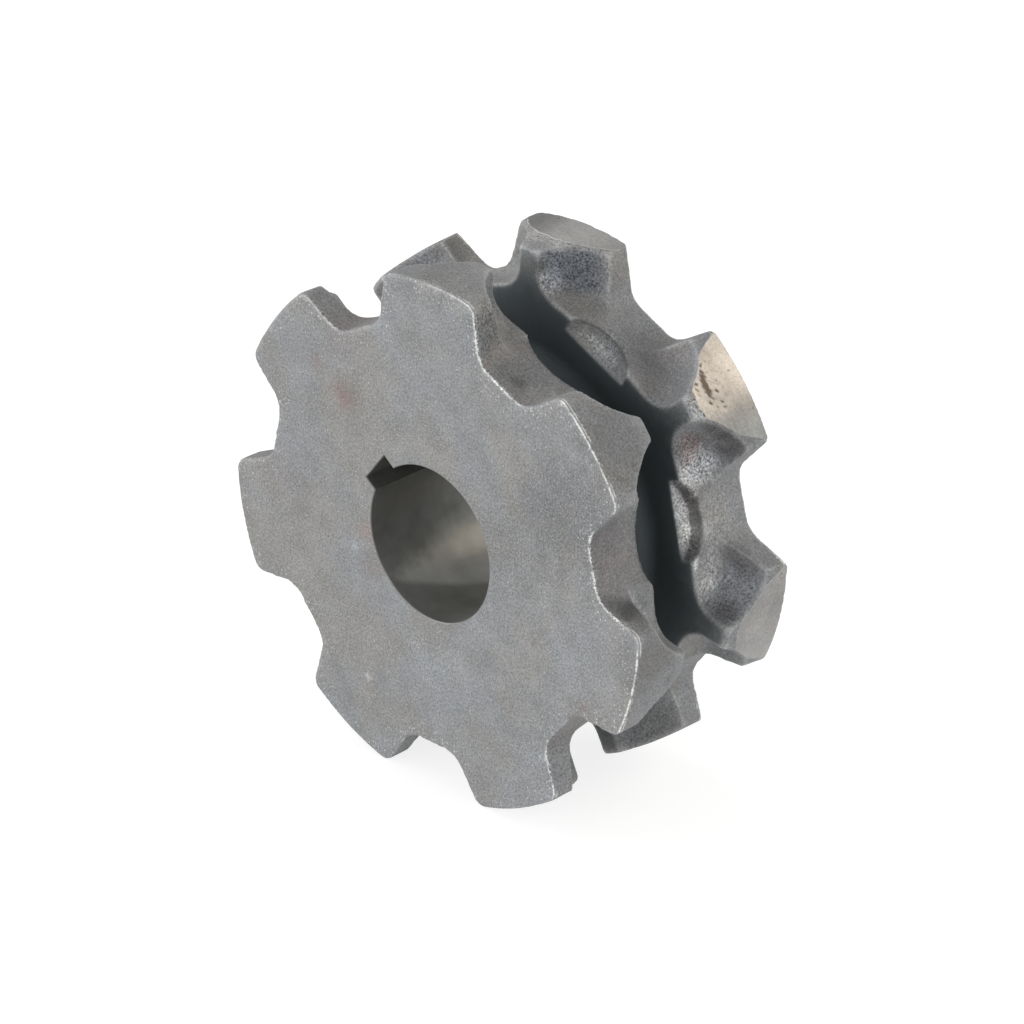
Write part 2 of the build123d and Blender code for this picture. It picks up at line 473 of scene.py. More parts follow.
def noise_at(points, size, octaves=2):
    """Fractal noise, about -1 to 1, with features of that size."""
    scale = 1 / size
    return np.array([noise.fractal(Vector(point) * scale, 1.0, 2.0, octaves) for point in points])


def neighbour_mean(mesh, values, passes):
    """Averages a value over the neighbours of each vertex."""
    edges = np.empty(len(mesh.edges) * 2, dtype=int)
    mesh.edges.foreach_get("vertices", edges)
    edges = edges.reshape(-1, 2)
    count = np.bincount(edges.ravel(), minlength=len(mesh.vertices))
    for _ in range(passes):
        total = np.bincount(edges[:, 0], values[edges[:, 1]], len(mesh.vertices))
        total += np.bincount(edges[:, 1], values[edges[:, 0]], len(mesh.vertices))
        values = (values + total / np.maximum(count, 1)) / 2
    return values


def join_loops(bm, near, far):
    """Faces between two loops with equally many points."""
    for i in range(len(near)):
        j = (i + 1) % len(near)
        bm.faces.new((near[i], near[j], far[j], far[i]))


# Materials


def skin_colour(tree, place, mottle, stored, look):
    """Colour of the cast skin: two tints of iron, coarse bluish seats and brown stains."""
    # The tint changes over some 16 mm, and one side of the wheel is a little warmer
    tint = add_node(tree, "TexNoise", [("Vector", place)],
                    Scale=features(16 * MM), Detail=3.0, Roughness=0.5).outputs["Fac"]
    sideways = add_node(tree, "SeparateXYZ", [("Vector", place)]).outputs["X"]
    sided = add_node(tree, "Math", [(0, sideways), (1, -1.4), (2, tint)], operation="MULTIPLY_ADD")
    warmth = add_node(tree, "MapRange", [("Value", sided)], From_Min=0.38, From_Max=0.62)
    patchy = add_node(tree, "MapRange", [("Value", mottle)], From_Min=0.35, From_Max=0.6, To_Min=0.35)
    rusty = add_node(tree, "Math", [(0, stored["rust"]), (1, patchy)],
                     operation="MULTIPLY", use_clamp=True)
    colour = linear(look.skin)
    for amount, over in ((warmth, look.skin_warm), (stored["coarse"], look.coarse), (rusty, look.rust)):
        colour = add_node(tree, "Mix", [("Factor", amount), (6, colour), (7, linear(over))],
                          data_type="RGBA").outputs[2]
    return colour


def rubbed_edges(tree, place, grained, mottle, stored):
    """How bare and bright the edges are: the lines along the face edges, drawn only where an edge
    faces the light as painted highlights, and the rims of the turned lands.
    """
    # The lines waver with the grain, less so near the tips. A second one runs down the side there
    unsteady = add_node(tree, "MapRange", [("Value", stored["tips"])], To_Min=2.4, To_Max=1.1)
    wobble = add_node(tree, "Math", [(0, grained), (1, unsteady), (2, stored["edge"])],
                      operation="MULTIPLY_ADD")
    line = add_node(tree, "Math", [(0, wobble)], operation="ABSOLUTE")
    line = add_node(tree, "MapRange", [("Value", line)],
                    From_Min=0.12, From_Max=0.44, To_Min=1.0, To_Max=0.0)
    second = add_node(tree, "Math", [(0, wobble), (1, 0.9)], operation="ADD")
    second = add_node(tree, "Math", [(0, second)], operation="ABSOLUTE")
    second = add_node(tree, "MapRange", [("Value", second)],
                      From_Min=0.08, From_Max=0.3, To_Min=0.65, To_Max=0.0)
    rim = add_node(tree, "MapRange", [("Value", stored["rim"])],
                   From_Min=0.15, From_Max=0.5, To_Min=0.6, To_Max=0.0)
    # The rubs break off every 2 to 3 mm, and the second line where the skin is dark
    breaks = add_node(tree, "TexNoise", [("Vector", place)],
                      Scale=features(2.5 * MM), Detail=4.0, Roughness=0.7).outputs["Fac"]
    here = add_node(tree, "MapRange", [("Value", breaks)], From_Min=0.38, From_Max=0.54, To_Min=0.2)
    second_here = add_node(tree, "MapRange", [("Value", mottle)], From_Min=0.48, From_Max=0.56)
    for factor in (second_here, stored["tips"]):
        second = add_node(tree, "Math", [(0, second), (1, factor)], operation="MULTIPLY")
    rim = add_node(tree, "Math", [(0, rim), (1, here)], operation="MULTIPLY")
    # Edges that face away from the light lose their lines: the lines are partly painted highlights
    for operation, value in (
        ("MULTIPLY", here), ("MAXIMUM", second), ("MULTIPLY", stored["facing_light"]), ("MAXIMUM", rim),
    ):
        line = add_node(tree, "Math", [(0, line), (1, value)], operation=operation)
    return line


def bright_facets(tree, place, stored):
    """Facets that the shot knocked bare on the faces, larger towards the edges."""
    # They stand about 0.8 mm apart, and each is drawn 0.3 to 0.5 mm wide so that it shows
    facets = add_node(tree, "TexVoronoi", [("Vector", place)], Scale=features(0.8 * MM))
    crowd = add_node(tree, "MapRange", [("Value", stored["edge"])],
                     From_Min=0.5, From_Max=7.0, To_Min=0.36, To_Max=0.20)
    dots = add_node(tree, "Math", [(0, crowd), (1, facets.outputs["Distance"])], operation="SUBTRACT")
    dots = add_node(tree, "MapRange", [("Value", dots)], From_Max=0.08, To_Max=0.45)
    pick = add_node(tree, "SeparateColor", [("Color", facets.outputs["Color"])])
    pick = add_node(tree, "MapRange", [("Value", pick)], From_Min=0.35)
    on_face = add_node(tree, "MapRange", [("Value", stored["edge"])], From_Min=-1.5, From_Max=-0.5)
    for factor in (pick, on_face):
        dots = add_node(tree, "Math", [(0, dots), (1, factor)], operation="MULTIPLY")
    return dots


def blasted_iron(look):
    """Grey iron, sand cast and shot blasted: a dull grain that sparkles a little, with thin rust,
    coarse bluish seats, a burnt groove that also holds painted shade, and rubbed edges that also
    hold painted highlights; the tone holds painted light and shade."""
    material, tree = new_material("Cast iron, shot blasted")
    place = add_node(tree, "TexCoord").outputs["Object"]
    stored = {
        name: add_node(tree, "Attribute", attribute_name=name).outputs["Fac"]
        for name in SKIN_VALUES
    }
    # Shot leaves dents 0.3 to 0.6 mm wide
    grain = add_node(tree, "TexNoise", [("Vector", place)],
                     Scale=features(0.55 * MM), Detail=2.0, Roughness=0.7).outputs["Fac"]
    grained = add_node(tree, "Math", [(0, grain), (1, 0.5)], operation="SUBTRACT")
    # The cast skin changes shade over some 7 mm
    mottle = add_node(tree, "TexNoise", [("Vector", place)],
                      Scale=features(7 * MM), Detail=4.0, Roughness=0.6).outputs["Fac"]
    # Gritty places sparkle more than the plain skin
    spread = add_node(tree, "MapRange", [("Value", stored["grain"])], To_Min=1.7, To_Max=4.6)
    shade = add_node(tree, "Math", [(0, grained), (1, spread), (2, 1.0)], operation="MULTIPLY_ADD")
    patch = add_node(tree, "MapRange", [("Value", mottle)],
                     From_Min=0.3, From_Max=0.7, To_Min=0.89, To_Max=1.11)
    # The tone carries painted light and shade as well as the skin's own changes
    for factor in (patch, stored["tone_and_shade"]):
        shade = add_node(tree, "Math", [(0, shade), (1, factor)], operation="MULTIPLY")
    skin = skin_colour(tree, place, mottle, stored, look)
    skin = add_node(tree, "VectorMath", [(0, skin), ("Scale", shade)], operation="SCALE")

    # Convex edges are drawn bare and bright, as wear with painted highlights
    rubs = add_node(tree, "Math", [(0, stored["rubbed_and_lit"]), (1, grain)], operation="MULTIPLY")
    bare = rubbed_edges(tree, place, grained, mottle, stored)
    bare = add_node(tree, "Math", [(0, bare), (1, rubs)], operation="MAXIMUM")
    bare = add_node(tree, "Math", [(0, bare), (1, bright_facets(tree, place, stored))],
                    operation="MAXIMUM", use_clamp=True)
    # The groove is drawn dark, partly as painted shade, and the bare places near white, partly as painted
    # highlights
    for amount, over in ((stored["burnt_and_shade"], look.burnt_and_shade), (bare, look.wear_and_sheen)):
        skin = add_node(tree, "Mix", [("Factor", amount), (6, skin), (7, linear(over))],
                        data_type="RGBA").outputs[2]

    roughness = add_node(tree, "MapRange", [("Value", bare)], To_Min=0.68, To_Max=0.45)
    dents = add_node(tree, "Bump", [("Height", grain)], Strength=0.6, Distance=0.14 * MM)
    surface = add_node(tree, "BsdfPrincipled",
                       [("Base Color", skin), ("Roughness", roughness), ("Normal", dents)], Metallic=0.45)
    add_node(tree, "OutputMaterial", [("Surface", surface)])
    return material


def bored_iron(look):
    """Grey iron bored to size: fine rings round the bore, dull and a little oily, with a band of
    painted light low on one side and painted light and shade over the rest of the wall.
    """
    material, tree = new_material("Cast iron, bored")
    place = add_node(tree, "TexCoord").outputs["Object"]
    # The boring tool feeds about 0.2 mm a turn; the rings are drawn 3.1 mm apart so that they show.
    # The texture has 20 / tau waves in each unit of its scale
    rings = add_node(tree, "TexWave", [("Vector", place)], bands_direction="Y",
                     Scale=features(math.pi * MM) * math.tau / 20, Distortion=1.5,
                     Detail=2.0).outputs["Fac"]
    # Oil and dirt lie in smears some 9 mm wide
    smear = add_node(tree, "TexNoise", [("Vector", place)],
                     Scale=features(9 * MM), Detail=4.0, Roughness=0.6).outputs["Fac"]
    shade = add_node(tree, "MapRange", [("Value", smear)],
                     From_Min=0.3, From_Max=0.7, To_Min=0.8, To_Max=1.15)
    # Painted light: a brighter band low on one side, where light falls in through the rear mouth,
    # which widens towards the rear. Its lower boundary is sharp and its upper one ragged. Across the
    # rest of the wall the shade changes evenly, also as painted light and shade
    below = add_node(tree, "VectorMath", [(0, place), (1, (0.72, -0.48, -0.50))],
                     operation="DOT_PRODUCT").outputs["Value"]
    above = add_node(tree, "VectorMath", [(0, place), (1, (0.674, 0.271, -0.686))],
                     operation="DOT_PRODUCT").outputs["Value"]
    ragged = add_node(tree, "Math", [(0, smear), (1, 9 * MM), (2, above)], operation="MULTIPLY_ADD")
    low_side = add_node(tree, "MapRange", [("Value", below)],
                        From_Min=9.0 * MM, From_Max=10.8 * MM, To_Min=1.0, To_Max=0.0)
    high_side = add_node(tree, "MapRange", [("Value", ragged)], From_Min=-3.5 * MM, From_Max=1.5 * MM)
    wear_and_sheen = add_node(tree, "Math", [(0, low_side), (1, high_side)], operation="MULTIPLY")
    rubbed_and_lit = add_node(tree, "MapRange", [("Value", below)],
                      From_Min=-4 * MM, From_Max=6 * MM, To_Min=1.1, To_Max=1.75)
    plain = add_node(tree, "MapRange", [("Value", below)],
                     From_Min=-6 * MM, From_Max=15 * MM, To_Min=0.82, To_Max=1.15)
    painted_light = add_node(tree, "Mix", [("Factor", wear_and_sheen), (2, plain), (3, rubbed_and_lit)])
    shade = add_node(tree, "Math", [(0, shade), (1, painted_light)], operation="MULTIPLY")
    colour = add_node(tree, "VectorMath", [(0, linear(look.bored)[:3]), ("Scale", shade)],
                      operation="SCALE")
    marks = add_node(tree, "Bump", [("Height", rings)], Strength=0.2, Distance=0.02 * MM)
    surface = add_node(tree, "BsdfPrincipled", [("Base Color", colour), ("Normal", marks)],
                       Metallic=0.6, Roughness=0.4)
    add_node(tree, "OutputMaterial", [("Surface", surface)])
    return material


def turned_iron(look):
    """Grey iron turned on the tooth tips: smooth and lighter, with open pores."""
    material, tree = new_material("Cast iron, turned")
    place = add_node(tree, "TexCoord").outputs["Object"]
    pore = add_node(tree, "Attribute", attribute_name="pore").outputs["Fac"]
    # The torn grain of the iron is about 0.7 mm wide, and its shade changes over some 8 mm
    fine = add_node(tree, "TexNoise", [("Vector", place)],
                    Scale=features(0.7 * MM), Detail=3.0, Roughness=0.6).outputs["Fac"]
    broad = add_node(tree, "TexNoise", [("Vector", place)],
                     Scale=features(8 * MM), Detail=3.0, Roughness=0.5).outputs["Fac"]
    shade = add_node(tree, "MapRange", [("Value", fine)],
                     From_Min=0.3, From_Max=0.7, To_Min=0.8, To_Max=1.15)
    patch = add_node(tree, "MapRange", [("Value", broad)],
                     From_Min=0.3, From_Max=0.7, To_Min=0.85, To_Max=1.1)
    shade = add_node(tree, "Math", [(0, shade), (1, patch)], operation="MULTIPLY")
    # Small pores, about 0.5 mm wide, in loose groups
    cells = add_node(tree, "TexVoronoi", [("Vector", place)],
                     Scale=features(2.4 * MM)).outputs["Distance"]
    spots = add_node(tree, "MapRange", [("Value", cells)],
                     From_Min=0.08, From_Max=0.14, To_Min=1.0, To_Max=0.0)
    groups = add_node(tree, "MapRange", [("Value", broad)], From_Min=0.5, From_Max=0.6)
    small = add_node(tree, "Math", [(0, spots), (1, groups)], operation="MULTIPLY")
    # The larger pores and the fields of chips have a ragged rim
    ragged = add_node(tree, "Math", [(0, fine), (1, 0.5)], operation="SUBTRACT")
    ragged = add_node(tree, "Math", [(0, ragged), (1, pore)], operation="ADD")
    large = add_node(tree, "MapRange", [("Value", ragged)], From_Min=0.25, From_Max=0.75, To_Max=0.8)
    pores = add_node(tree, "Math", [(0, small), (1, large)], operation="MAXIMUM")
    clean = add_node(tree, "VectorMath", [(0, linear(look.turned)[:3]), ("Scale", shade)],
                     operation="SCALE")
    colour = add_node(tree, "Mix", [("Factor", pores), (6, clean), (7, linear(look.pore))],
                      data_type="RGBA").outputs[2]
    roughness = add_node(tree, "MapRange", [("Value", pores)], To_Min=0.28, To_Max=0.8)
    surface = add_node(tree, "BsdfPrincipled",
                       [("Base Color", colour), ("Roughness", roughness)], Metallic=0.9)
    add_node(tree, "OutputMaterial", [("Surface", surface)])
    return material


# The casting


def tooth_places(points):
    """For each point its tooth (0 is the top one, counted clockwise from the front), the angle
    from that tooth's middle and the distance from the axis."""
    angle = math.pi / 2 - np.arctan2(points[:, 2], points[:, 0])
    tooth = np.round(angle / TOOTH_STEP)
    return tooth.astype(int) % TEETH, angle - tooth * TOOTH_STEP, np.hypot(points[:, 0], points[:, 2])


def cad_copy():
    """The node's mesh with its doubled vertices merged."""
    bm = bmesh.new()
    bm.from_mesh(frame["nodes"][NODE].data)
    bmesh.ops.remove_doubles(bm, verts=bm.verts, dist=0.0005 * MM)
    return bm


def blank_casting(casting):
    """The node's solid with its bore filled, as one even mesh with rounded cast edges."""
    bm = cad_copy()
    plug = BORE_RADIUS * 1.25  # Wide enough to fill the keyway too
    bmesh.ops.create_cone(bm, cap_ends=True, segments=64, radius1=plug, radius2=plug,
                          depth=REAR - FRONT, matrix=Matrix.Rotation(math.pi / 2, 4, "X"))
    piece = object_from(bm, "casting")
    remesh = piece.modifiers.new("even mesh", "REMESH")
    remesh.mode = "VOXEL"
    remesh.voxel_size = casting.mesh_size
    smooth = piece.modifiers.new("cast edges", "SMOOTH")
    smooth.factor = 0.5
    smooth.iterations = casting.edge_passes
    apply_modifiers(piece)
    return piece


def face_outline(face_y):
    """Points along the outline of one face, and the way out of the metal at each. The bore and its
    keyway are left out."""
    bm = cad_copy()
    bore_edges = BORE_RADIUS * 1.3
    flat = {
        face for face in bm.faces
        if abs(face.normal.y) > 0.999 and abs(face.calc_center_median().y - face_y) < 0.01 * MM
    }
    places, outward = [], []
    for edge in bm.edges:
        inside = [face for face in edge.link_faces if face in flat]
        start, end = (Vector((vert.co.x, 0, vert.co.z)) for vert in edge.verts)
        if len(inside) != 1 or start.length < bore_edges:
            continue
        out = (end - start).cross(Vector((0, 1, 0))).normalized()
        if out.dot(start - inside[0].calc_center_median()) < 0:
            out = -out
        steps = math.ceil((end - start).length / OUTLINE_STEP)
        for step in range(steps):
            places.append(start.lerp(end, (step + 0.5) / steps))
            outward.append(out)
    bm.free()
    return search_tree(places), outward


def over_face_edge(points, face_y, edge_break):
    """How far each point is over the edge of a face: + on the face, - down the side. Also the way
    out of the metal there."""
    tree, directions = face_outline(face_y)
    depth = np.abs(face_y) - points[:, 1] * np.sign(face_y)
    over = np.full(len(points), -EDGE_REACH)
    outward = np.zeros((len(points), 3))
    for i in np.flatnonzero(depth < EDGE_REACH):
        x, _, z = points[i]
        place, index, _ = tree.find((x, 0, z))
        out = directions[index]
        outward[i] = out
        over[i] = (place.x - x) * out.x + (place.z - z) * out.z + edge_break - depth[i]
    return over, outward


def over_both_edges(points, edge_break):
    """How far each point is over the edge of the face on its side of the middle plane, and the
    way out of the metal there."""
    over, outward = over_face_edge(points, FRONT, edge_break)
    over_rear, outward_rear = over_face_edge(points, REAR, edge_break)
    rear = points[:, 1] > 0
    over[rear], outward[rear] = over_rear[rear], outward_rear[rear]
    return over, outward


def surface_bend(mesh, points, normals):
    """How far each vertex stands above (+) or below (-) the middle of the skin round it."""
    passes = 12
    middle = np.stack([neighbour_mean(mesh, points[:, i], passes) for i in range(3)], axis=1)
    return ((points - middle) * normals).sum(axis=1)


def hollow_depth(points, normals):
    """How deep the skin lies in the hollows round it, at some of the points."""
    every, reach = 40, 6 * MM
    sample = slice(None, None, every)
    tree = search_tree(points[sample])
    near = [tree.find_range(point, reach) for point in points[sample]]
    middle = np.array([np.mean([place for place, _, _ in found], axis=0) for found in near])
    depth = ((middle - points[sample]) * normals[sample]).sum(axis=1)
    smooth = np.array([np.mean([depth[index] for _, index, _ in found]) for found in near])
    return tree, (depth + smooth) / 2


def hollow_at(hollows, places):
    """The hollow depth at any places, from the four nearest points that have one."""
    tree, depth = hollows
    return np.array([np.mean([depth[index] for _, index, _ in tree.find_n(place, 4)]) for place in places])


def rear_corner_turn(tooth, offset, radius, turned):
    """The angle by which each point near a rear tip's corners turns in, to round them."""
    corner = np.array(CORNERS)[tooth, (offset > 0).astype(int)] * MM
    corner *= ease(np.abs(offset), 9.5 * DEGREE, 11.5 * DEGREE)
    climb = np.clip(radius - (turned - corner), 0, corner)
    return np.sign(offset) * (corner - np.sqrt(corner ** 2 - climb ** 2)) / radius


def ease_rear_tips(points, machining):
    """The rear tips fall off towards the groove, so that turning cleans up only part of each. The
    border of each land bows back at the sides of its tooth."""
    tooth, offset, radius = tooth_places(points)
    rear = points[:, 1] > 0.5 * MM
    turned = TIP_RADIUS - machining.turned_depth
    start, lost = np.array(LANDS).T[:, tooth]
    start = start * MM
    bow = lost * (REAR - start) * np.minimum(np.abs(offset) / HALF_TIP, 1.3) ** 2.3
    rough = noise_at(points, 2.5 * MM, 3) * 0.06 * MM
    slope, deepest, proud = 0.13, -1.2 * MM, 0.3 * MM
    fall = np.clip(slope * (points[:, 1] - start - bow), deepest, proud)
    raised = radius + 0.5 * MM * ease(radius, turned - 0.9 * MM, turned - 0.3 * MM)
    eased = np.where(rear, np.minimum(raised, turned + fall + rough), radius)
    turn = rear * rear_corner_turn(tooth, offset, radius, turned)
    points[:, (0, 2)] *= (eased / radius)[:, None]
    x, z = points[:, 0].copy(), points[:, 2].copy()
    points[:, 0] = x * np.cos(turn) - z * np.sin(turn)
    points[:, 2] = x * np.sin(turn) + z * np.cos(turn)


def round_front_tips(points, normals, bend):
    """The front tips fall off a little towards the groove, and their corners there are round."""
    tooth, _, radius = tooth_places(points)
    front, depth = points[:, 1] < 0, np.abs(points[:, 1])
    inner = front * (1 - ease(depth, 11 * MM, 14 * MM)) * ease(radius, 56 * MM, 60 * MM)
    points -= normals * (inner * np.maximum(bend, 0))[:, None]
    fall = front * (1 - ease(depth, 8.5 * MM, 12.5 * MM)) * ease(radius, 64.5 * MM, 67.5 * MM)
    points[:, (0, 2)] *= (1 - fall * np.array(FALLS)[tooth] * MM / radius)[:, None]


def link_seats(points):
    """1 inside the link seats and 0 on the rest, and how coarse the sand print is there."""
    tooth, offset, radius = tooth_places(points)
    seats = band(np.abs(offset), DEGREE, *SEAT_ANGLES)
    seats *= band(np.abs(points[:, 1]), MM, *SEAT_DEPTHS)
    seats *= band(radius, MM, *SEAT_RADII)
    side = (offset > 0).astype(int)
    print_depth = np.where(
        points[:, 1] > 0, np.array(COARSE_REAR)[tooth, side], np.array(COARSE_FRONT)[tooth, side]
    )
    uneven = ease(noise_at(points + 0.3, 9 * MM), -0.7, 0.1)
    return seats, seats * print_depth * (0.4 + 0.6 * uneven)


def print_skin(points, normals, hollows, casting):
    """Presses the print of the sand mould into the skin, always inwards."""
    seats, coarse = link_seats(points)
    face = ease(np.abs(normals[:, 1]), 0.9, 0.98) * ease(np.abs(points[:, 1]), REAR - 1 * MM, REAR)
    depth = (1 - noise_at(points, casting.swell_length)) / 2 * casting.swell_depth
    depth += (1 - noise_at(points + 0.1, casting.pit_length)) / 2 * casting.pit_depth
    depth *= 1 - 0.75 * face
    inside = np.flatnonzero(seats > 0.01)
    deep = ease(hollow_at(hollows, points[inside]), 0.2 * MM, 1.3 * MM)
    depth[inside] += seats[inside] * deep * casting.seat_depth
    lumps = (1 - noise_at(points + 0.2, casting.coarse_length)) / 2
    depth += coarse * lumps * casting.coarse_depth
    points -= normals * depth[:, None]
    return coarse


def leave_flash(points, over, outward, casting):
    """Leaves the face edges uneven in the valleys, where flash was broken off."""
    _, _, radius = tooth_places(points)
    valley = 1 - ease(radius, TIP_RADIUS - 6 * MM, TIP_RADIUS - 2 * MM)
    near = 1 - ease(np.abs(over), 0.4 * MM, 1.6 * MM)
    flat = points * (1, 0, 1)
    bits = ease(noise_at(flat + 0.4, casting.flash_length), 0.15, 0.5)
    bits = bits + 0.9 * noise_at(flat + 0.5, 1.3 * MM)
    points += outward * (bits * near * valley * casting.flash_height)[:, None]


def shape_skin(piece, casting, machining):
    """Gives the blank its cast skin, and returns what the paint work needs of each point."""
    mesh = piece.data
    points = vertex_places(mesh)
    normals = vertex_normals(mesh)
    bend = surface_bend(mesh, points, normals)
    hollows = hollow_depth(points, normals)
    coarse = print_skin(points, normals, hollows, casting)
    for face_y, share in ((FRONT, 1), (REAR, 0.4)):
        over, outward = over_face_edge(points, face_y, casting.edge_break)
        leave_flash(points, over, outward * share, casting)
    round_front_tips(points, normals, bend)
    ease_rear_tips(points, machining)
    move_vertices(mesh, points)
    lighten = piece.modifiers.new("lighten", "DECIMATE")
    lighten.ratio = casting.triangles / (2 * len(mesh.polygons))
    apply_modifiers(piece)
    return points, hollows, {
        "rubbed_and_lit": ease(bend, 0.05 * MM, 0.30 * MM),
        # Creases are kept for painted shade
        "crease_shade": ease(-bend, 0.05 * MM, 0.35 * MM),
        "coarse": coarse,
        "across": np.abs(normals[:, 1]),
    }


def distance_to_lands(mesh, places):
    """How far each vertex is from the outline of the turned lands, at most 3 mm."""
    farthest = 3 * MM
    skin, land = set(), set()
    for polygon in mesh.polygons:
        if polygon.material_index < 2:
            (skin, land)[polygon.material_index].update(polygon.vertices)
    tree = search_tree(places[sorted(skin & land)])
    distance = np.full(len(places), farthest)
    for i in np.flatnonzero((np.hypot(places[:, 0], places[:, 2]) > 64 * MM) & (places[:, 1] > 0)):
        distance[i] = min(tree.find(places[i])[2], farthest)
    return distance


def shade_skin(places, skin, hollow, lip):
    """How light, how rusty and how coarse the skin is at each place. The lightness holds painted light
    and shade as well as the skin's own tone.
    """
    tooth, offset, radius = tooth_places(places)
    relief = (1 - ease(radius, 53.8 * MM, 54.3 * MM)) * band(np.abs(places[:, 1]), MM, *RELIEF_DEPTHS)
    wall = relief * ease(skin["across"], 0.60, 0.75)
    wall *= np.array(RELIEF_WALL_SHADE)[(tooth - (offset < 0)) % TEETH]
    front_floor = (places[:, 1] < 0) * ease(np.abs(offset), 15 * DEGREE, 18 * DEGREE)
    front_floor *= 1 - ease(skin["across"], 0.3, 0.6)
    # The relief bottoms are lighter, as painted light; the relief walls, creases and hollows are
    # darker, as painted shade; the lips and the front floors are darker too
    tone_and_shade = 1 + 0.25 * relief + wall - 0.45 * skin["rubbed_and_lit"] * lip - 0.12 * front_floor
    tone_and_shade -= 0.3 * skin["crease_shade"]
    tone_and_shade -= 0.3 * ease(hollow, 0.3 * MM, 1.4 * MM) + 0.10 * skin["coarse"]
    rust = 0.15 * front_floor
    grain = skin["coarse"]
    uneven = 1 + 0.35 * noise_at(places + 0.6, 3 * MM)
    for x, y, z, size, stain, change, coarser in PATCHES:
        away = np.linalg.norm(places - np.array((x, y, z)) * MM, axis=1)
        near = 1 - ease(away * uneven, 0.3 * size * MM, size * MM)
        rust = rust + near * stain
        tone_and_shade = tone_and_shade * (1 + near * change)
        grain = np.maximum(grain, near * coarser)
    return tone_and_shade, rust, grain


def paint_skin(piece, casting, points, hollows, found):
    """Keeps on the mesh what the material of the skin needs."""
    mesh = piece.data
    places = vertex_places(mesh)
    tree = search_tree(points)
    nearest = np.array([tree.find(place)[1] for place in places])
    skin = {name: values[nearest] for name, values in found.items()}
    tooth, offset, radius = tooth_places(places)
    depth = np.abs(places[:, 1])
    over, outward = over_both_edges(places, casting.edge_break)
    # The groove between the flanges: burnt sand, and painted shade as well
    burnt_and_shade = 1 - ease(depth, 7.0 * MM, 7.5 * MM)
    lip = band(depth, MM, *RELIEF_DEPTHS) * (1 - ease(radius, 55.2 * MM, 56 * MM))
    lip *= ease(np.abs(offset), 15 * DEGREE, 17 * DEGREE)
    tone_and_shade, rust, grain = shade_skin(places, skin, hollow_at(hollows, places), lip)

    before, after = np.array(RIMS).T[:, tooth]
    rim = before + (after - before) * ease(offset, -3 * DEGREE, 3 * DEGREE)
    # Painted highlight: face edges turned right and up, towards the light, get the lines, and more
    # strongly on the right side of the wheel
    facing_light = ease(outward @ np.array((0.9, 0, 0.45)), 0.3, 0.65)
    facing_light *= 0.55 + 0.45 * ease(places[:, 0], -20 * MM, 35 * MM)
    at_face = ease(depth, REAR - 2.5 * MM, REAR - 1.2 * MM)
    in_front = (places[:, 1] < 0) * (1 - ease(depth, 20 * MM, 23 * MM))
    rubbed_and_lit = skin["rubbed_and_lit"] * (1 - burnt_and_shade) * (1 - lip) * 0.6
    rubbed_and_lit *= (1 - 0.6 * at_face) * (1 - 0.75 * in_front)
    painted = {
        "edge": over / MM, "rubbed_and_lit": rubbed_and_lit, "burnt_and_shade": burnt_and_shade, "coarse": skin["coarse"], "grain": grain,
        "rim": distance_to_lands(mesh, places) / MM + 0.5 * (1 - rim), "rust": rust, "tone_and_shade": tone_and_shade,
        "facing_light": facing_light, "tips": ease(radius, 61 * MM, 65 * MM),
    }
    for name in SKIN_VALUES:
        store(mesh, name, painted[name])


def bar_between(sections, name, material):
    """A closed bar through matching loops of points."""
    bm = bmesh.new()
    loops = [[bm.verts.new(point) for point in section] for section in sections]
    bm.faces.new(loops[0])
    bm.faces.new(reversed(loops[-1]))
    for near, far in zip(loops, loops[1:]):
        join_loops(bm, near, far)
    bmesh.ops.recalc_face_normals(bm, faces=bm.faces)
    return object_from(bm, name, [material])


def bore_cutter(machining, material):
    """The bore and its keyway as one bar that runs past both faces and breaks their mouths."""
    turn = math.pi / 2 - machining.keyway_tooth * TOOTH_STEP
    past = 1 * MM
    sections = []
    for y, grow in (
        (FRONT - past, machining.mouth_break + past),
        (FRONT + machining.mouth_break, 0),
        (REAR - machining.mouth_break, 0),
        (REAR + past, machining.mouth_break + past),
    ):
        radius = BORE_RADIUS + grow
        half = machining.keyway_width / 2 + grow
        top = BORE_RADIUS + machining.keyway_depth + grow
        start = math.asin(half / radius)
        outline = []
        for i in range(machining.bore_sides + 1):
            angle = start + (math.tau - 2 * start) * i / machining.bore_sides
            outline.append((radius * math.cos(angle), radius * math.sin(angle)))
        outline += [(top, -half), (top, half)]
        sections.append([
            (u * math.cos(turn) - v * math.sin(turn), y, u * math.sin(turn) + v * math.cos(turn))
            for u, v in outline
        ])
    return bar_between(sections, "bore cutter", material)


def tip_cutter(machining, material):
    """A ring round the rear half of the wheel, whose finely meshed inside is the turned diameter."""
    inner, outer = TIP_RADIUS - machining.turned_depth, TIP_RADIUS + 5 * MM
    start, end = 0.5 * MM, REAR + 2 * MM
    steps = round((REAR + 1.5 * MM) / machining.cut_mesh)
    rings = [(inner, start + (REAR + 1.5 * MM) * i / steps) for i in range(steps + 1)]
    rings += [(outer, end), (outer, start)]
    sides = round(math.tau * inner / machining.cut_mesh)
    angles = [math.tau * i / sides for i in range(sides)]
    bm = bmesh.new()
    loops = [
        [bm.verts.new((radius * math.cos(angle), y, radius * math.sin(angle))) for angle in angles]
        for radius, y in rings
    ]
    for near, far in zip(loops, loops[1:] + loops[:1]):
        join_loops(bm, near, far)
    bmesh.ops.recalc_face_normals(bm, faces=bm.faces)
    return object_from(bm, "tip cutter", [material])


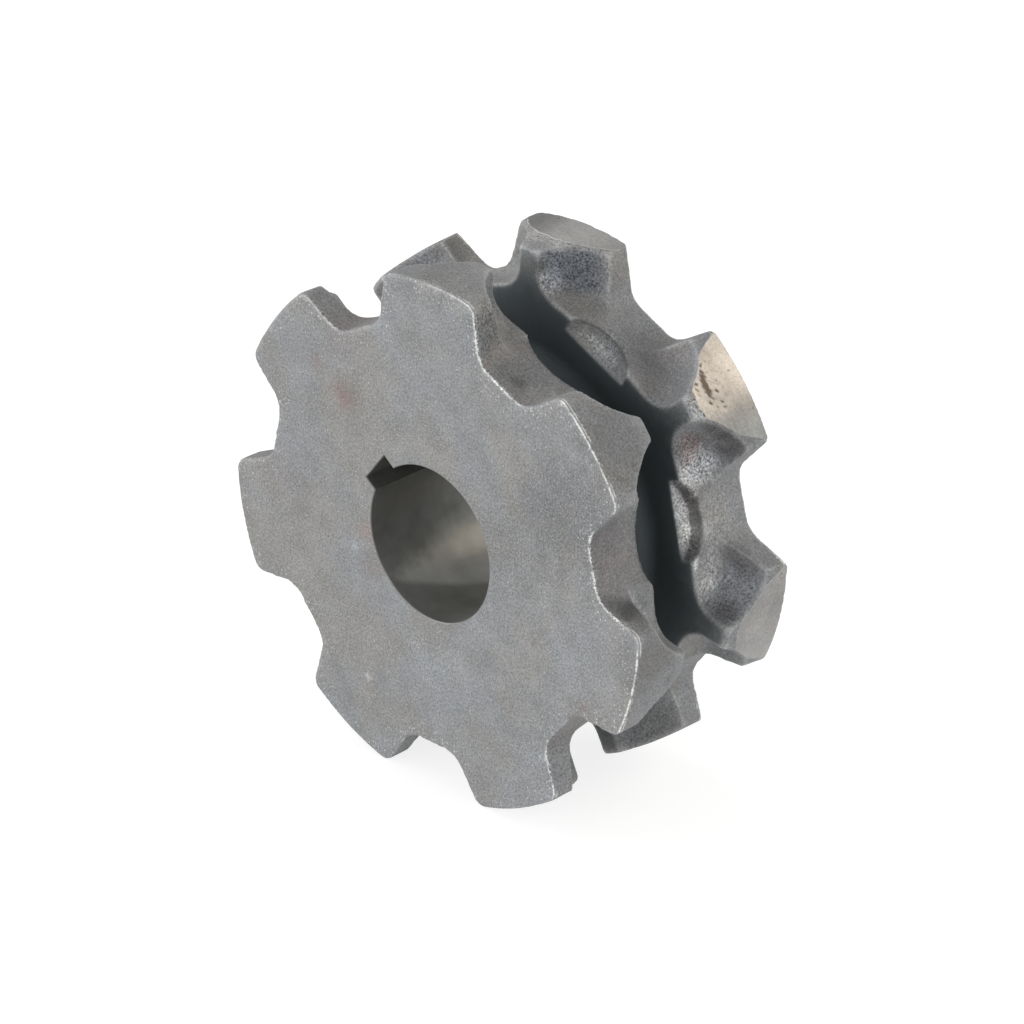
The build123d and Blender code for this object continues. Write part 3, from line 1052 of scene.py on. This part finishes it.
def open_pores(piece, machining):
    """Sinks the pores that turning opened in the rear lands."""
    mesh = piece.data
    places = vertex_places(mesh)
    tooth, offset, radius = tooth_places(places)
    turned = TIP_RADIUS - machining.turned_depth
    land = (np.abs(radius - turned) < 0.005 * MM) & (places[:, 1] > 0.6 * MM)
    pore = np.zeros(len(places))
    for number, angle, y, size in PORES:
        along = (offset - angle * DEGREE) * turned
        reach = np.hypot(along, places[:, 1] - y * MM) / (size * MM)
        here = np.clip(1.5 - reach, 0, 1 if size < 2 else 0.3)
        pore = np.maximum(pore, np.where(land & (tooth == number), here, 0))
    places[:, (0, 2)] *= (1 - 0.12 * MM * np.maximum(pore - 0.3, 0) / radius)[:, None]
    move_vertices(mesh, places)
    store(mesh, "pore", pore)


def shade_edges(piece):
    """Smooth shading, with sharp edges where a machined face meets another face."""
    bm = bmesh.new()
    bm.from_mesh(piece.data)
    for face in bm.faces:
        face.smooth = True
    for edge in bm.edges:
        if len(edge.link_faces) == 2:
            one, other = (face.material_index for face in edge.link_faces)
            edge.smooth = one == other and (one == 0 or edge.calc_face_angle(0) < 25 * DEGREE)
    bm.to_mesh(piece.data)
    bm.free()


class POCKETWHEEL_OT_casting(bpy.types.Operator):
    """Make the cast wheel with its machined bore, keyway and rear tips"""

    bl_idname = "pocketwheel.casting"
    bl_label = "Cast wheel"

    def execute(self, context):
        casting = context.scene.pocketwheel_casting
        machining = context.scene.pocketwheel_machining
        look = context.scene.pocketwheel_iron
        piece = blank_casting(casting)
        piece.data.materials.clear()
        piece.data.materials.append(blasted_iron(look))
        points, hollows, found = shape_skin(piece, casting, machining)
        subtract(piece, tip_cutter(machining, turned_iron(look)))
        subtract(piece, bore_cutter(machining, bored_iron(look)))
        paint_skin(piece, casting, points, hollows, found)
        open_pores(piece, machining)
        shade_edges(piece)
        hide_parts(NODE)
        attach(piece, "root")
        return {"FINISHED"}


# Stage

# Sides of the light tent: name, azimuth and elevation in degrees, strength
WALLS_OF_LIGHT = (
    ("front wall", 0, 12, 1.6),
    ("left front wall", 315, 12, 1.4),
    ("right wall", 90, 12, 0.78),
    ("rear wall", 180, 12, 1.15),
    ("left roof", 277, 42, 0.93),
)

# How wide each side of the tent is, seen from the wheel
WALL_SPREAD = 50 * DEGREE

# Softboxes: name, azimuth and elevation in degrees, size in metres, watts, colour
SOFTBOXES = (
    ("warm softbox", 142, 39, 0.62, 2.7, (1.0, 0.88, 0.72)),
    ("low softbox", 131, 14, 0.40, 0.48, (0.94, 1.0, 0.95)),
    ("left rear softbox", 218, 34, 0.60, 0.75, (1.0, 0.99, 0.97)),
)
SOFTBOX_DISTANCE = 1.2
FLOOR_HALF = 6.0


def seen_as_background(tree, rays):
    """1 where one of those rays sees the surface itself, and 0 where it only gives light."""
    path = add_node(tree, "LightPath")
    seen = path.outputs[rays[0]]
    for ray in rays[1:]:
        seen = add_node(tree, "Math", [(0, seen), (1, path.outputs[ray])], operation="MAXIMUM")
    return seen


def floor_material(stage):
    """Matt white board that reads as white and still takes the wheel's shadow."""
    material, tree = new_material("White board, matt")
    seen = seen_as_background(tree, ("Is Camera Ray", "Is Glossy Ray", "Is Transmission Ray"))
    matt = add_node(tree, "BsdfDiffuse", [("Color", linear(stage.floor))])
    soft = add_node(tree, "BsdfDiffuse", [("Color", (0.30, 0.30, 0.30, 1))])
    glow = add_node(tree, "Emission", Strength=0.8)
    bright = add_node(tree, "AddShader", [(0, soft), (1, glow)])
    mixed = add_node(tree, "MixShader", [(0, seen), (1, matt), (2, bright)])
    add_node(tree, "OutputMaterial", [("Surface", mixed)])
    return material


def way_to(azimuth, elevation):
    """Unit vector; azimuth 0 is in front of the wheel and a quarter turn is on its right."""
    level = math.cos(elevation)
    return Vector((math.sin(azimuth) * level, -math.cos(azimuth) * level, math.sin(elevation)))


def add_lamp(light, azimuth, elevation, distance):
    """Puts a light in that direction, in degrees, aimed at the wheel and unseen by the camera."""
    direction = way_to(azimuth * DEGREE, elevation * DEGREE)
    lamp = bpy.data.objects.new(light.name, light)
    lamp.location = direction * distance
    lamp.rotation_mode = "QUATERNION"
    lamp.rotation_quaternion = direction.to_track_quat("Z", "Y")
    lamp.visible_camera = False
    bpy.context.scene.collection.objects.link(lamp)


def add_wall_of_light(name, azimuth, elevation, strength):
    """A wide sun that stands for one lit side of a light tent."""
    light = bpy.data.lights.new(name, "SUN")
    light.energy = strength
    light.angle = WALL_SPREAD
    add_lamp(light, azimuth, elevation, 1)


def add_softbox(name, azimuth, elevation, size, power, colour):
    """A round softbox, for the highlights."""
    light = bpy.data.lights.new(name, "AREA")
    light.shape = "DISK"
    light.size = size
    light.energy = power
    light.color = colour
    add_lamp(light, azimuth, elevation, SOFTBOX_DISTANCE)


def add_world(stage):
    """Daylight all round, in front of a white background."""
    world = bpy.data.worlds.new("Studio")
    bpy.context.scene.world = world
    world.use_nodes = True
    tree = world.node_tree
    tree.nodes.clear()
    seen = seen_as_background(tree, ("Is Camera Ray", "Is Transmission Ray"))
    light = add_node(tree, "Background", [("Color", (*stage.daylight, 1))], Strength=0.3)
    white = add_node(tree, "Background", Strength=1.0)
    mixed = add_node(tree, "MixShader", [(0, seen), (1, light), (2, white)])
    add_node(tree, "OutputWorld", [("Surface", mixed)])


def add_camera(stage):
    """The camera, which looks that way past the middle of the bore, as the framing asks."""
    back = way_to(stage.azimuth, stage.elevation)
    right = Vector((math.cos(stage.azimuth), math.sin(stage.azimuth), 0))
    up = back.cross(right)
    camera = bpy.data.objects.new("camera", bpy.data.cameras.new("camera"))
    camera.data.lens = stage.lens
    camera.data.sensor_width = 36
    camera.data.clip_start = 0.05
    camera.location = back * stage.distance - right * stage.aside - up * stage.above
    camera.rotation_mode = "QUATERNION"
    camera.rotation_quaternion = (-back).to_track_quat("-Z", "Y")
    bpy.context.scene.collection.objects.link(camera)
    bpy.context.scene.camera = camera


class POCKETWHEEL_OT_stage(bpy.types.Operator):
    """Make the floor, the lamps and the camera"""

    bl_idname = "pocketwheel.stage"
    bl_label = "Stage"

    def execute(self, context):
        stage = context.scene.pocketwheel_stage
        bm = bmesh.new()
        bmesh.ops.create_grid(bm, x_segments=1, y_segments=1, size=FLOOR_HALF)
        bmesh.ops.translate(bm, verts=bm.verts, vec=(0, 0, cad_box[0].z))
        floor = object_from(bm, "floor", [floor_material(stage)])
        add_world(stage)
        for wall in WALLS_OF_LIGHT:
            add_wall_of_light(*wall)
        for softbox in SOFTBOXES:
            add_softbox(*softbox)
        add_camera(stage)
        context.scene.view_settings.view_transform = "Standard"
        return {"FINISHED"}


class POCKETWHEEL_PT_panel(bpy.types.Panel):
    """List the settings and the two steps in the sidebar"""

    bl_label = "Pocket wheel"
    bl_space_type = "VIEW_3D"
    bl_region_type = "UI"
    bl_category = "Pocket wheel"

    def draw(self, context):
        for group in SETTINGS:
            settings = getattr(context.scene, group)
            box = self.layout.box()
            for name in settings.__annotations__:
                box.prop(settings, name)
        self.layout.operator(POCKETWHEEL_OT_casting.bl_idname)
        self.layout.operator(POCKETWHEEL_OT_stage.bl_idname)


SETTINGS = {
    "pocketwheel_casting": CastingSettings,
    "pocketwheel_machining": MachiningSettings,
    "pocketwheel_iron": IronSettings,
    "pocketwheel_stage": StageSettings,
}
CLASSES = (*SETTINGS.values(), POCKETWHEEL_OT_casting, POCKETWHEEL_OT_stage, POCKETWHEEL_PT_panel)


def register():
    for item in CLASSES:
        bpy.utils.register_class(item)
    for name, group in SETTINGS.items():
        setattr(bpy.types.Scene, name, PointerProperty(type=group))


def unregister():
    for name in SETTINGS:
        delattr(bpy.types.Scene, name)
    for item in reversed(CLASSES):
        bpy.utils.unregister_class(item)


def main():
    """Makes the wheel and its stage."""
    register()
    bpy.ops.pocketwheel.casting()
    bpy.ops.pocketwheel.stage()


if __name__ == "__main__":
    main()
